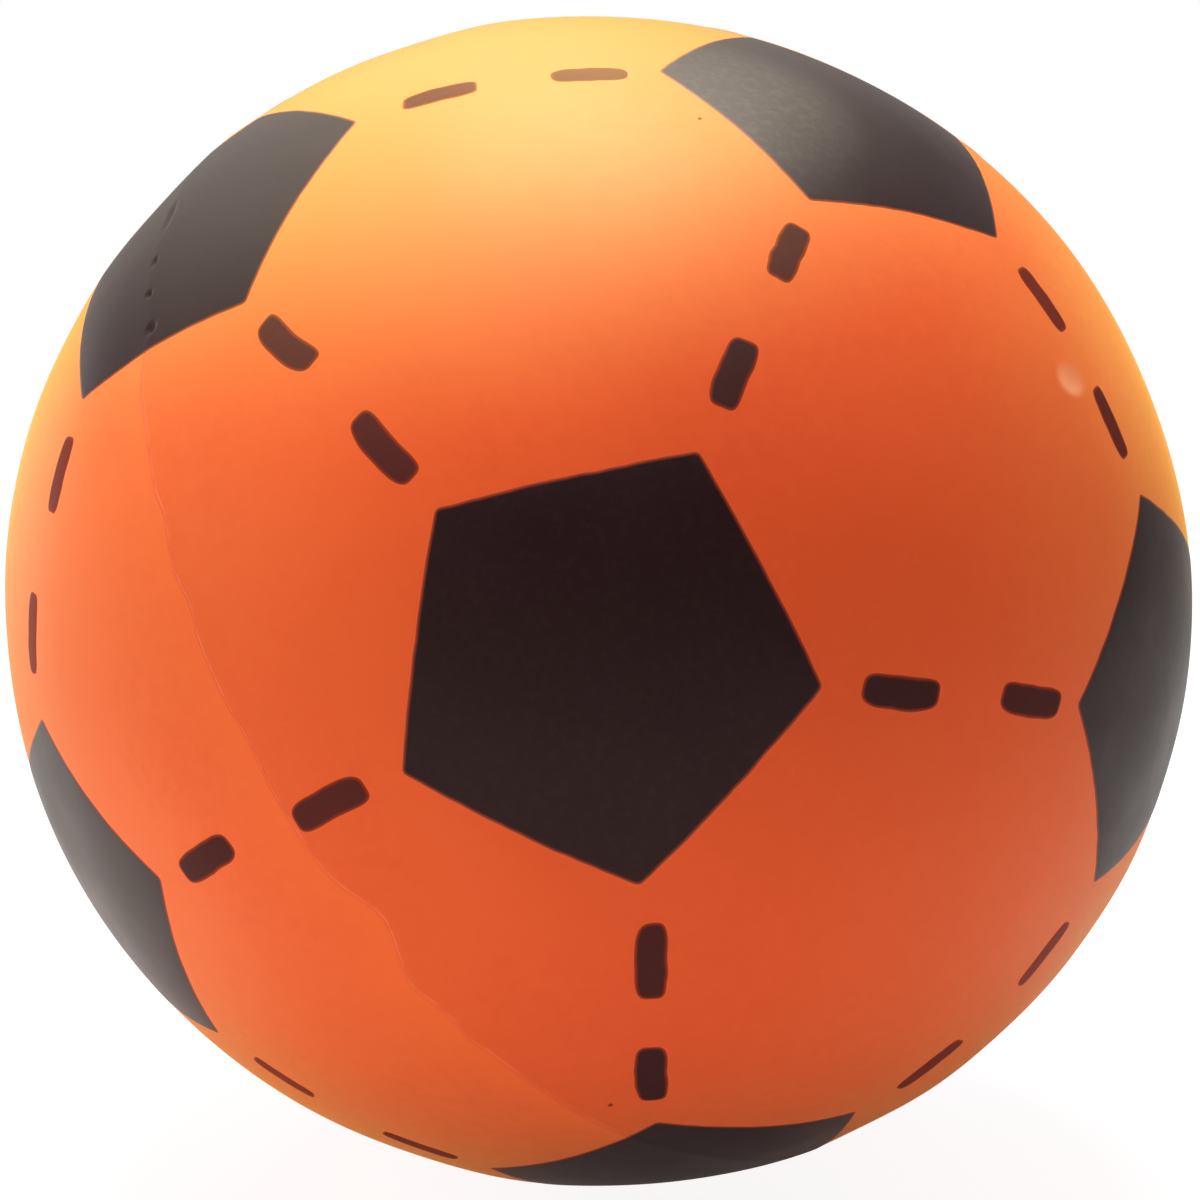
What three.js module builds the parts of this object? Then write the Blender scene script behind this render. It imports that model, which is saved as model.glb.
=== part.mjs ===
// Foam soccer ball: two moulded foam halves, glued along one tilted seam, with printed pentagons and dashes.
// Millimetres, +Z up. The origin is the centre of the ball, and the front pentagon faces -Y.

import * as THREE from 'three';

// Ball
const BALL_DIAMETER = 200;

// Seam: its pole is the middle of the right half, given as a bearing from the front and a height, in degrees
const SEAM_POLE_BEARING = 57;
const SEAM_POLE_ELEVATION = 28;
const GLUE_THICKNESS = 0.4;
const GLUE_SETBACK = 1.5;
const GLUE_CLEARANCE = 0.3;

// Ink
const INK_THICKNESS = 0.3;
const INK_CLEARANCE = 0.3;

// Printed pentagons: the reach runs along the surface, from the centre of a pentagon to a corner
const PENTAGON_REACH = 30.5;

// Printed dashes: two lie on the line between neighbouring pentagons, each past its own pentagon's corner.
// The gap share is the part of the line's bare length that lies between a corner and its dash
const DASH_LENGTH = 12;
const DASH_WIDTH = 4.2;
const CORNER_GAP_SHARE = 0.27;

// The whole pattern is rolled anticlockwise about the front pentagon, in degrees
const PATTERN_ROLL = 46;

// Stencils slip: along is towards the neighbour that the first corner points at, across is square to it,
// both in millimetres on the surface, and turn is in degrees
const FRONT_SLIP = { along: -0.5, across: 1, turn: 0.5 };
const FRONT_RING_SLIPS = [
  { along: 2.5, across: -1.5, turn: -1 },
  { along: -1, across: 0, turn: -1.5 },
  { along: 0.5, across: -1, turn: 4.5 },
  { along: 1.5, across: 2.5, turn: 2 },
  { along: 1, across: 0.5, turn: -1 },
];
const NO_SLIP = { along: 0, across: 0, turn: 0 };

// Smoothness of the round faces
const ROUND_SEGMENTS = 60;
const HALF_ARC_STEPS = 15;
const PENTAGON_SIDE_STEPS = 4;
const PENTAGON_RINGS = 4;
const DASH_SEGMENTS = 16;
const DASH_RINGS = 1;

const BALL_RADIUS = BALL_DIAMETER / 2;
const SIDES = 5;
const SIDE_ANGLE = (2 * Math.PI) / SIDES;
const RING_TILT = Math.atan(2);
const NEIGHBOUR_REACH = 1.1 * RING_TILT;

const foam = new THREE.MeshStandardMaterial({ name: 'foam', color: 0xe8622a, roughness: 0.6, metalness: 0 });
const ink = new THREE.MeshStandardMaterial({ name: 'ink', color: 0x1f1717, roughness: 0.5, metalness: 0 });
const glue = new THREE.MeshStandardMaterial({ name: 'glue', color: 0xd8c38c, roughness: 0.5, metalness: 0 });

// Points on a circle about the lathe's origin, at angles from the lathe's axis.
function arc(radius, fromAngle, toAngle, steps) {
  return Array.from({ length: steps + 1 }, (_, i) => {
    const angle = THREE.MathUtils.lerp(fromAngle, toAngle, i / steps);
    return new THREE.Vector2(radius * Math.sin(angle), radius * Math.cos(angle));
  });
}

// A solid hemisphere on its flat gluing face, with its pole on +Z.
function foamHalfGeometry() {
  const faceHeight = GLUE_THICKNESS / 2 + GLUE_CLEARANCE;
  const rimAngle = Math.acos(faceHeight / BALL_RADIUS);
  const profile = [new THREE.Vector2(0, faceHeight), ...arc(BALL_RADIUS, rimAngle, 0, HALF_ARC_STEPS)];
  return new THREE.LatheGeometry(profile, ROUND_SEGMENTS).rotateX(Math.PI / 2);
}

// The thin disc of glue between the two gluing faces, which stops short of the ball's surface.
function glueGeometry() {
  const radius = BALL_RADIUS - GLUE_SETBACK;
  return new THREE.CylinderGeometry(radius, radius, GLUE_THICKNESS, ROUND_SEGMENTS).rotateX(Math.PI / 2);
}

// A curved film of ink centred on +Z, with its longest reach towards +Y.
// It starts as a round cap, and each point is drawn in towards the middle until the rim has its outline:
// outline(angle) is how far out the rim lies at that angle from +Y, as a share of the reach.
function filmGeometry(reach, segments, rings, outline) {
  const reachAngle = reach / BALL_RADIUS;
  const innerRadius = BALL_RADIUS + INK_CLEARANCE;
  const outerRadius = innerRadius + INK_THICKNESS;
  const underside = arc(innerRadius, 0, reachAngle, rings);
  const topside = arc(outerRadius, reachAngle, 0, rings);
  const film = new THREE.LatheGeometry([...underside, ...topside], segments);

  const points = film.attributes.position;
  const point = new THREE.Vector3();
  const spherical = new THREE.Spherical();
  for (let i = 0; i < points.count; i++) {
    spherical.setFromVector3(point.fromBufferAttribute(points, i));
    spherical.phi = Math.atan(Math.tan(spherical.phi) * outline(spherical.theta));
    point.setFromSpherical(spherical);
    points.setXYZ(i, point.x, point.y, point.z);
  }
  return film.rotateX(Math.PI / 2).rotateZ(Math.PI);
}

// Five straight sides, with a corner at angle 0.
function pentagonOutline(angle) {
  const fromSideMiddle = THREE.MathUtils.euclideanModulo(angle, SIDE_ANGLE) - SIDE_ANGLE / 2;
  return Math.cos(SIDE_ANGLE / 2) / Math.cos(fromSideMiddle);
}

// Two straight sides with round ends, with an end at angle 0.
function dashOutline(angle) {
  const endRadius = DASH_WIDTH / 2;
  const endCentre = DASH_LENGTH / 2 - endRadius;
  const along = Math.abs(Math.cos(angle));
  const across = Math.abs(Math.sin(angle));
  const toSide = endRadius / across;
  const meetsSide = toSide * along < endCentre;
  const toEnd = () => endCentre * along + Math.sqrt(endRadius ** 2 - (endCentre * across) ** 2);
  return (meetsSide ? toSide : toEnd()) / (DASH_LENGTH / 2);
}

// The two halves and their glue share the seam's own frame, with +Z on the right half's pole.
function seamedBall() {
  const ball = new THREE.Group();

  const rightHalf = new THREE.Mesh(foamHalfGeometry(), foam);
  rightHalf.name = 'foam_half_right';

  const leftHalf = new THREE.Mesh(foamHalfGeometry(), foam);
  leftHalf.name = 'foam_half_left';
  leftHalf.rotation.x = Math.PI;

  const seamGlue = new THREE.Mesh(glueGeometry(), glue);
  seamGlue.name = 'seam_glue';

  ball.add(rightHalf, leftHalf, seamGlue);

  const bearing = THREE.MathUtils.degToRad(SEAM_POLE_BEARING);
  const elevation = THREE.MathUtils.degToRad(SEAM_POLE_ELEVATION);
  const level = Math.cos(elevation);
  ball.lookAt(level * Math.sin(bearing), -level * Math.cos(bearing), Math.sin(elevation));
  return ball;
}

// A direction in the pattern's own frame: tilted away from the front pole on +Y, then swung about that pole.
function patternDirection(tilt, swing) {
  return new THREE.Vector3().setFromSphericalCoords(1, tilt, swing);
}

// Pentagons sit at the corners of an icosahedron: a front and a back one, and a ring of five next to each.
// The first corner of each pentagon points at the neighbour given here.
function pentagonPlaces() {
  const front = patternDirection(0, 0);
  const back = patternDirection(Math.PI, 0);
  const frontRing = [];
  const backRing = [];
  for (let i = 0; i < SIDES; i++) {
    frontRing.push({
      name: `front_ring_${i + 1}`,
      centre: patternDirection(RING_TILT, i * SIDE_ANGLE),
      neighbour: front,
      slip: FRONT_RING_SLIPS[i],
    });
    backRing.push({
      name: `back_ring_${i + 1}`,
      centre: patternDirection(Math.PI - RING_TILT, (i + 0.5) * SIDE_ANGLE),
      neighbour: back,
      slip: NO_SLIP,
    });
  }
  return [
    { name: 'front', centre: front, neighbour: frontRing[0].centre, slip: FRONT_SLIP },
    ...frontRing,
    ...backRing,
    { name: 'back', centre: back, neighbour: backRing[0].centre, slip: NO_SLIP },
  ];
}

// One pentagon, facing outwards along its centre, moved and turned by the slip of its stencil.
function pentagon(place, film) {
  const mesh = new THREE.Mesh(film, ink);
  mesh.name = `pentagon_${place.name}`;
  mesh.up.copy(place.neighbour);
  mesh.lookAt(place.centre);
  mesh.rotateX(-place.slip.along / BALL_RADIUS);
  mesh.rotateY(place.slip.across / BALL_RADIUS);
  mesh.rotateZ(THREE.MathUtils.degToRad(place.slip.turn));
  return mesh;
}

// One dash, just past a pentagon's corner on the line from its printed centre to a neighbour's.
function dash(fromPentagon, towardsPentagon, name, film) {
  const from = new THREE.Vector3(0, 0, 1).applyQuaternion(fromPentagon.quaternion);
  const towards = new THREE.Vector3(0, 0, 1).applyQuaternion(towardsPentagon.quaternion);
  const bareLength = from.angleTo(towards) * BALL_RADIUS - 2 * (PENTAGON_REACH + DASH_LENGTH);
  const fromCentre = PENTAGON_REACH + CORNER_GAP_SHARE * bareLength + DASH_LENGTH / 2;

  const mesh = new THREE.Mesh(film, ink);
  mesh.name = name;
  mesh.up.copy(towards);
  mesh.lookAt(from);
  mesh.rotateX(-fromCentre / BALL_RADIUS);
  return mesh;
}

// All pentagons, and both dashes on each line that touches the front pentagon or its ring.
function printedPattern() {
  const pattern = new THREE.Group();
  const places = pentagonPlaces();
  const pentagonSegments = SIDES * PENTAGON_SIDE_STEPS;
  const pentagonFilm = filmGeometry(PENTAGON_REACH, pentagonSegments, PENTAGON_RINGS, pentagonOutline);
  const dashFilm = filmGeometry(DASH_LENGTH / 2, DASH_SEGMENTS, DASH_RINGS, dashOutline);
  const pentagons = places.map((place) => pentagon(place, pentagonFilm));
  pattern.add(...pentagons);

  places.forEach((from, i) => {
    places.forEach((towards, j) => {
      const areNeighbours = i !== j && from.centre.angleTo(towards.centre) < NEIGHBOUR_REACH;
      const touchesFront = from.name.startsWith('front') || towards.name.startsWith('front');
      if (areNeighbours && touchesFront) {
        const name = `dash_${from.name}_to_${towards.name}`;
        pattern.add(dash(pentagons[i], pentagons[j], name, dashFilm));
      }
    });
  });

  pattern.rotation.set(0, -THREE.MathUtils.degToRad(PATTERN_ROLL), Math.PI);
  return pattern;
}

const soccerBall = new THREE.Group();
soccerBall.name = 'foam_soccer_ball';
soccerBall.add(seamedBall(), printedPattern());

export default soccerBall;
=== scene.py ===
import math

import bpy
import numpy as np
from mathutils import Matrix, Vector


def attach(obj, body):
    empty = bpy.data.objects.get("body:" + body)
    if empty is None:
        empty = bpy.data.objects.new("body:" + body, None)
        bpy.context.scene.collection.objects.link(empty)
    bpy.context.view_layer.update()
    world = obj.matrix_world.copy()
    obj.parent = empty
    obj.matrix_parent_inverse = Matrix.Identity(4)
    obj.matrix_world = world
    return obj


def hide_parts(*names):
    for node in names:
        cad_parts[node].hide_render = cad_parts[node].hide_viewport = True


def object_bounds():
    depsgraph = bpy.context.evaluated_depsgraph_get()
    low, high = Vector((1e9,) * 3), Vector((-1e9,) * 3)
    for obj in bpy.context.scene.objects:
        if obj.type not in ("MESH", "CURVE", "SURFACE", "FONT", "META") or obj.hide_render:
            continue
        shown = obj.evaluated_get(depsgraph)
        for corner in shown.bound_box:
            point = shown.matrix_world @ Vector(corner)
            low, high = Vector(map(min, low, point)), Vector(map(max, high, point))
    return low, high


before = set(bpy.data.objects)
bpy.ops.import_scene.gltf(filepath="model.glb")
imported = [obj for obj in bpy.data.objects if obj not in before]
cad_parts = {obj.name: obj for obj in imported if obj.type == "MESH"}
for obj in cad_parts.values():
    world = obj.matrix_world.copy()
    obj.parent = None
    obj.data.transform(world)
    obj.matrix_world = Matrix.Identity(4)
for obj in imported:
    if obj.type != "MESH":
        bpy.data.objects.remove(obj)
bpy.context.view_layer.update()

# Moulded foam halves
# The ball is two solid halves of soft polyurethane foam with a smooth, satin moulded skin. They leave the
# mould a little out of round, and they are glued flat to flat on one tilted plane.

MM = 0.001
BALL_RADIUS = 100 * MM
LONG_AXIS = np.array([0.96, 0, -0.28])
SHORT_AXIS = np.array([0.28, 0, 0.96])
OUT_OF_ROUND = 0.8 * MM
LUMP_HEIGHT = 0.035 * MM
LUMP_COUNT = 14
# The lumps' waves, in radians to the ball's radius, from the longest to the shortest
LUMP_WAVES = (9, 28)
LUMP_SEED = 11

SEAM_POLE_BEARING = math.radians(57)
SEAM_POLE_ELEVATION = math.radians(28)
SEAM_GAP = 0.45 * MM
LIP_REACH = 10 * MM
SEAM_DRIFT = 1.0 * MM
# Where the parting line wanders: turn round the seam in degrees, how far in millimetres, reach in degrees
SEAM_WANDERS = (
    (37, -1.6, 4), (59.5, 1.6, 3), (66, -0.5, 2.5), (78.5, 0.9, 2), (86, 0.8, 1.8), (98, 0.6, 3),
    (115.5, 3.4, 3.5), (122, -1.1, 1.6), (129, -0.8, 1.3), (160, 1.0, 5), (185, -1.5, 6), (215, 1.2, 4),
    (240, 0.8, 3), (265, -1.2, 5), (290, 1.5, 4), (320, -0.9, 5), (345, 0.9, 4),
)
RIDGE_HEIGHT = 0.2 * MM
RIDGE_REACH = 4 * MM
RIDGE_CREST = 0.4 * MM
EDGE_DROP = 0.03 * MM
EDGE_REACH = 0.15 * MM
# Open pits on the parting line: turn round the seam in degrees, then length, width and depth in millimetres
SEAM_PITS = (
    (44.6, 7.0, 1.7, 0.35), (51.2, 1.9, 1.2, 0.4), (55.4, 1.4, 1.3, 0.5), (59.8, 2.0, 1.8, 0.6),
    (171, 1.4, 1.2, 0.5), (204, 0.9, 0.9, 0.4), (232, 3.0, 1.4, 0.5), (236, 0.9, 0.9, 0.4),
    (283, 1.3, 1.2, 0.5), (308, 1.0, 1.0, 0.4),
)
# The foam's pits are this much wider and deeper than the ink that lies in them
FOAM_PIT_SPREAD = 1.3
PIT_STEEPNESS = 3

SCAR_BEARING = math.radians(49.5)
SCAR_ELEVATION = math.radians(22.5)
SCAR_LENGTH = 7.4 * MM
SCAR_WIDTH = 5.8 * MM
SCAR_RIM_HEIGHT = 0.05 * MM
SCAR_DENT_DEPTH = 0.10 * MM
# Shares of the way from the scar's middle to its oval edge
SCAR_RIM_PLACE = 0.9
SCAR_RIM_SPREAD = 0.3
SCAR_DENT_SPREAD = 0.7
SCAR_PALE_SPREAD = 0.92
SCAR_PALE_STEEPNESS = 6
# How pale the scar is in the middle, and how that swings towards its lower left
SCAR_PALE = 0.70
SCAR_PALE_SWING = 0.18
SCAR_PALE_SLOPE = 1.5

# Spacing of the mesh round the seam, over the pits and between them
PIT_STEP = 0.35 * MM
PIT_MARGIN = 1.5 * MM
PIT_STEP_GROWTH = 0.25
WIDEST_COLUMN = 1.15 * MM
# Spacing of the mesh from the rim to the pole, at the rim, over the scar and elsewhere
RIM_STEP = 0.1 * MM
RIM_STEP_GROWTH = 0.09
SCAR_STEP = 0.3 * MM
SCAR_STEP_GROWTH = 0.35
SCAR_MARGIN = 3 * MM
WIDEST_ROW = 1.7 * MM
STATION_SAMPLES = 20001
FACE_RINGS = np.array([0.1, 0.3, 0.5, 0.7, 0.85, 0.95, 0.985])


def heading(bearing, elevation):
    """Unit direction at a bearing from the front, towards the right, and an elevation over the level."""
    level = math.cos(elevation)
    return np.array([level * math.sin(bearing), -level * math.cos(bearing), math.sin(elevation)])


def unit(vectors):
    """Vectors divided by their lengths."""
    return vectors / np.linalg.norm(vectors, axis=-1, keepdims=True)


SEAM_POLE = heading(SEAM_POLE_BEARING, SEAM_POLE_ELEVATION)
SEAM_TOP = unit(np.array([0, 0, 1]) - SEAM_POLE[2] * SEAM_POLE)
SEAM_SIDE = np.cross(SEAM_POLE, SEAM_TOP)
SCAR_MIDDLE = heading(SCAR_BEARING, SCAR_ELEVATION)


def turn_from(turn, degrees):
    """Turn from a place on the seam, the short way round."""
    return np.angle(np.exp(1j * (turn - math.radians(degrees))))


def seam_path(turn):
    """Height of the parting line over the seam's plane: a drift plus one bell curve for each wander."""
    height = np.full_like(turn, SEAM_DRIFT)
    for degrees, far, reach in SEAM_WANDERS:
        height = height + far * MM * np.exp(-(turn_from(turn, degrees) / math.radians(reach)) ** 2)
    return height


def seam_distance(directions):
    """Signed distance along the surface from the parting line, positive on the right half, and the turn."""
    turn = np.arctan2(directions @ SEAM_SIDE, directions @ SEAM_TOP)
    return BALL_RADIUS * np.arcsin(np.clip(directions @ SEAM_POLE, -1, 1)) - seam_path(turn), turn


def scar_form(directions):
    """Rise and paleness of the filling scar: with q the distance from its middle as a share of its oval edge,
    a low rounded rim near q = 1, a shallow dent inside, and a pale film that fades out at the edge."""
    across = unit(np.cross(SCAR_MIDDLE, np.array([0, 0, 1])))
    upward = np.cross(across, SCAR_MIDDLE)
    share_across = (directions @ across) * BALL_RADIUS / (SCAR_LENGTH / 2)
    share_up = (directions @ upward) * BALL_RADIUS / (SCAR_WIDTH / 2)
    share = np.where(directions @ SCAR_MIDDLE < 0, math.inf, np.hypot(share_across, share_up))
    rim = np.exp(-((share - SCAR_RIM_PLACE) / SCAR_RIM_SPREAD) ** 2)
    dent = np.exp(-(share / SCAR_DENT_SPREAD) ** 2)
    swing = SCAR_PALE_SWING * np.tanh(SCAR_PALE_SLOPE * (share_across - share_up))
    pale = np.exp(-(share / SCAR_PALE_SPREAD) ** SCAR_PALE_STEEPNESS) * (SCAR_PALE + swing)
    return SCAR_RIM_HEIGHT * rim - SCAR_DENT_DEPTH * dent, pale


def skin_rise(directions, pit_spread=1.0):
    """Height of the skin over a true ball. Out of round: the square of the cosine to the long axis, less that
    to the short axis. Lumps: a sum of plane waves. Ridge: falls off exponentially from the parting line.
    Pits: bell-shaped dents on the parting line, widened and deepened by the pit spread."""
    rise = OUT_OF_ROUND * ((directions @ LONG_AXIS) ** 2 - (directions @ SHORT_AXIS) ** 2)
    draw = np.random.default_rng(LUMP_SEED)
    waves = unit(draw.normal(size=(LUMP_COUNT, 3))) * draw.uniform(*LUMP_WAVES, size=(LUMP_COUNT, 1))
    phases = draw.uniform(0, 2 * math.pi, size=LUMP_COUNT)
    for wave, phase in zip(waves, phases):
        rise = rise + LUMP_HEIGHT * np.cos(directions @ wave + phase)
    distance, turn = seam_distance(directions)
    rise = rise + RIDGE_HEIGHT * np.exp(-np.hypot(distance, RIDGE_CREST) / RIDGE_REACH)
    for degrees, length, width, depth in SEAM_PITS:
        along = turn_from(turn, degrees) * BALL_RADIUS
        share = np.hypot(along / length, distance / width) / (0.5 * MM * pit_spread)
        rise = rise - depth * MM * pit_spread * np.exp(-share ** PIT_STEEPNESS)
    return rise + scar_form(directions)[0]


def stations(length, step):
    """Stations from 0 to a length, whose spacing follows a function: the running sum of one over the step is
    read back at equal parts."""
    fine = np.linspace(0, length, STATION_SAMPLES)
    middles = (fine[1:] + fine[:-1]) / 2
    count = np.concatenate([[0], np.cumsum(np.diff(fine) / step(middles))])
    parts = int(np.ceil(count[-1]))
    return np.interp(np.linspace(0, count[-1], parts + 1), count, fine)


def column_step(along):
    """Spacing round the seam: fine over the open pits, wider elsewhere."""
    nearest = np.full_like(along, math.inf)
    for degrees, length, *_ in SEAM_PITS:
        away = np.abs(turn_from(along / BALL_RADIUS, degrees)) * BALL_RADIUS
        nearest = np.minimum(nearest, away - 0.5 * length * MM)
    return np.clip(PIT_STEP + PIT_STEP_GROWTH * (nearest - PIT_MARGIN), PIT_STEP, WIDEST_COLUMN)


def row_step(from_rim):
    """Spacing from the rim to the pole: fine along the parting line and over the scar, wider elsewhere."""
    scar_away = np.arccos(SCAR_MIDDLE @ SEAM_POLE) * BALL_RADIUS
    from_scar = np.abs(0.5 * math.pi * BALL_RADIUS - from_rim - scar_away)
    near_rim = RIM_STEP + RIM_STEP_GROWTH * from_rim
    near_scar = SCAR_STEP + SCAR_STEP_GROWTH * np.maximum(from_scar - SCAR_MARGIN, 0)
    return np.minimum(np.minimum(near_rim, near_scar), WIDEST_ROW)


SEAM_TURNS = stations(2 * math.pi * BALL_RADIUS, column_step)[:-1] / BALL_RADIUS
SEAM_LEVEL = np.cos(SEAM_TURNS)[:, None] * SEAM_TOP + np.sin(SEAM_TURNS)[:, None] * SEAM_SIDE
HALF_ROWS = stations(0.5 * math.pi * BALL_RADIUS, row_step)[:-1] / (0.5 * math.pi * BALL_RADIUS)


def at_latitude(latitude):
    """Unit directions at each turn of the seam, raised from its plane by an angle."""
    return np.cos(latitude)[..., None] * SEAM_LEVEL + np.sin(latitude)[..., None] * SEAM_POLE


def gluing_face(edge, half_gap):
    """Rings of a gluing face, from near its middle out to its edge: the wave of the edge fades with the
    square of the share."""
    shares = FACE_RINGS[:, None]
    edge_height = edge @ SEAM_POLE
    height = (edge_height - half_gap) * shares ** 2 + half_gap
    return shares[..., None] * (edge - edge_height[:, None] * SEAM_POLE) + height[..., None] * SEAM_POLE


def ringed_body(name, first, rings, last, material, **measures):
    """A closed body from rings that run anticlockwise about the way from the first point to the last: quads
    join each ring to the next, and a fan of triangles closes each end on its point."""
    count, across = rings.shape[:2]
    points = np.concatenate([first[None], rings.reshape(-1, 3), last[None]])
    here = np.arange(across)
    after = np.roll(here, -1)
    start = 1 + across * np.arange(count - 1)[:, None]
    quads = np.stack([start + here, start + after, start + across + after, start + across + here], axis=-1)
    end = 1 + across * (count - 1)
    first_fan = np.stack([np.zeros_like(here), 1 + after, 1 + here], axis=-1)
    last_fan = np.stack([end + here, end + after, np.full_like(here, len(points) - 1)], axis=-1)
    mesh = bpy.data.meshes.new(name)
    mesh.from_pydata(points, [], quads.reshape(-1, 4).tolist() + first_fan.tolist() + last_fan.tolist())
    mesh.polygons.foreach_set("use_smooth", np.ones(len(mesh.polygons), dtype=bool))
    for measure, (at_first, at_rings, at_last) in measures.items():
        values = np.concatenate([[at_first], at_rings.reshape(-1), [at_last]]).astype(np.float32)
        mesh.attributes.new(measure, "FLOAT", "POINT").data.foreach_set("value", values)
    mesh.materials.append(material)
    piece = bpy.data.objects.new(name, mesh)
    bpy.context.scene.collection.objects.link(piece)
    return piece


def half_body(name, side, material):
    """One half: rows of the skin run from the wavy rim to the pole, each at its share of the way, and rings
    of the gluing face run from the rim to the middle."""
    half_gap = side * SEAM_GAP / 2
    rim = (seam_path(SEAM_TURNS) + half_gap) / BALL_RADIUS
    latitude = rim + (side * math.pi / 2 - rim) * HALF_ROWS[:, None]
    directions = at_latitude(latitude)
    from_rim = np.abs(latitude - rim) * BALL_RADIUS
    rise = skin_rise(directions, FOAM_PIT_SPREAD) - EDGE_DROP * np.exp(-from_rim / EDGE_REACH)
    skin = directions * (BALL_RADIUS + rise)[..., None]
    face = gluing_face(skin[0], half_gap)

    pole = side * SEAM_POLE
    pole_point = pole * (BALL_RADIUS + skin_rise(pole[None])[0])
    face_middle = half_gap * SEAM_POLE
    rings = np.concatenate([face, skin])
    # Share of painted light on the left of the seam and painted shade on its right, fading away from the rim
    lip = np.concatenate([np.full(face.shape[:2], -side), -side * np.exp(-from_rim / LIP_REACH)])
    scar = np.concatenate([np.zeros(face.shape[:2]), scar_form(directions)[1]])
    if side > 0:
        return ringed_body(
            name, face_middle, rings, pole_point, material,
            lip=(-1, lip, 0), scar=(0, scar, 0),
        )
    return ringed_body(
        name, pole_point, rings[::-1], face_middle, material,
        lip=(0, lip[::-1], 1), scar=(0, scar[::-1], 0),
    )


FOAM_ORANGE = (0.90, 0.115, 0.027, 1)
# Deeper orange, for a random mottle and for painted shade on the lower right side
FOAM_MOTTLE_AND_SHADE = (0.80, 0.081, 0.021, 1)
# Painted amber highlight on the crown, where the overhead light falls strongest
FOAM_PAINTED_HIGHLIGHT = (0.95, 0.355, 0.083, 1)
FOAM_PALE = (0.93, 0.29, 0.16, 1)
# Painted light on the lip left of the seam and painted shade on the lip to its right, and their shares
FOAM_LEFT_LIP_PAINTED_LIGHT = (0.95, 0.132, 0.023, 1)
FOAM_RIGHT_LIP_PAINTED_SHADE = (0.82, 0.088, 0.019, 1)
LEFT_LIP_LIGHT_SHARE = 0.5
RIGHT_LIP_SHADE_SHARE = 0.42
# A side of the ball: the way it looks, the angle from there at which it begins, and at which it is full
# The crown, where the amber highlight is painted
PAINTED_HIGHLIGHT_SIDE = (unit(np.array([-0.17, -0.30, 0.92])), math.radians(55), math.radians(10))
# The lower right side, away from the light, where shade is painted
PAINTED_SHADE_SIDE = (unit(np.array([0.75, -0.55, -0.35])), math.radians(100), math.radians(35))
# Grain is given in repeats to the metre, and its noise lies mostly within this span
NOISE_SPAN = (0.3, 0.7)
BROAD_GRAIN = 22
FINE_GRAIN = 420
FINE_DETAIL = 4
GRAIN_ROUGHNESS = 0.6
MOTTLE_SPAN = (0.16, 0.38)
MOTTLE_DEPTH = (-0.1, 0.2)
PEEL_GRAIN = 1300
PEEL_STRENGTH = 0.08
PEEL_HEIGHT = 0.02 * MM
FOAM_ROUGHNESS = (0.5, 0.54)
FOAM_GLOSS = 0.25
FOAM_GLOSS_TINT = (1.0, 0.8, 0.32, 1)
FOAM_SHEEN = 0.6
FOAM_SHEEN_ROUGHNESS = 0.45
FOAM_SHEEN_TINT = (1.0, 0.61, 0.10, 1)


def node(tree, kind, inputs=None, **settings):
    """A node with its settings, and its inputs set to values or linked to the sockets given."""
    made = tree.nodes.new(kind)
    for setting, value in settings.items():
        setattr(made, setting, value)
    for socket, value in (inputs or {}).items():
        if isinstance(value, bpy.types.NodeSocket):
            tree.links.new(value, made.inputs[socket])
        else:
            made.inputs[socket].default_value = value
    return made


def reckoned(tree, operation, one, other):
    """Two values joined by a sum, a product, a power or the like."""
    return node(tree, "ShaderNodeMath", {0: one, 1: other}, operation=operation).outputs[0]


def blended(tree, share, one, other):
    """Colour that goes from one to the other with the share."""
    mix = node(tree, "ShaderNodeMix", {"Factor": share, "A": one, "B": other}, data_type="RGBA")
    return mix.outputs["Result"]


def ramped(tree, value, low, high, to_low, to_high):
    """Value carried smoothly from one range to another, and held at its ends."""
    span = {"Value": value, "From Min": low, "From Max": high, "To Min": to_low, "To Max": to_high}
    return node(tree, "ShaderNodeMapRange", span, interpolation_type="SMOOTHSTEP").outputs["Result"]


def grain(tree, place, scale, detail=2.0, roughness=0.5):
    """Noise at a scale, in repeats to the metre."""
    settings = {"Vector": place, "Scale": scale, "Detail": detail, "Roughness": roughness}
    return node(tree, "ShaderNodeTexNoise", settings).outputs["Fac"]


def measured(tree, measure):
    """Value that the mesh holds at each point."""
    return node(tree, "ShaderNodeAttribute", attribute_name=measure).outputs["Fac"]


def along_way(tree, place, way):
    """How far a place lies along a way."""
    return node(tree, "ShaderNodeVectorMath", {0: place, 1: way}, operation="DOT_PRODUCT").outputs["Value"]


def side_share(tree, place, side):
    """Share of a side of the ball: none at its edge angle, one at its full angle."""
    way, edge, full = side
    height = along_way(tree, place, way)
    return ramped(tree, height, BALL_RADIUS * math.cos(edge), BALL_RADIUS * math.cos(full), 0.0, 1.0)


def blank_material(name):
    """A material with its tree, its surface shader and the place on the object, in metres."""
    material = bpy.data.materials.new(name)
    material.use_nodes = True
    tree = material.node_tree
    place = node(tree, "ShaderNodeTexCoord").outputs["Object"]
    return material, tree, tree.nodes["Principled BSDF"], place


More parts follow.
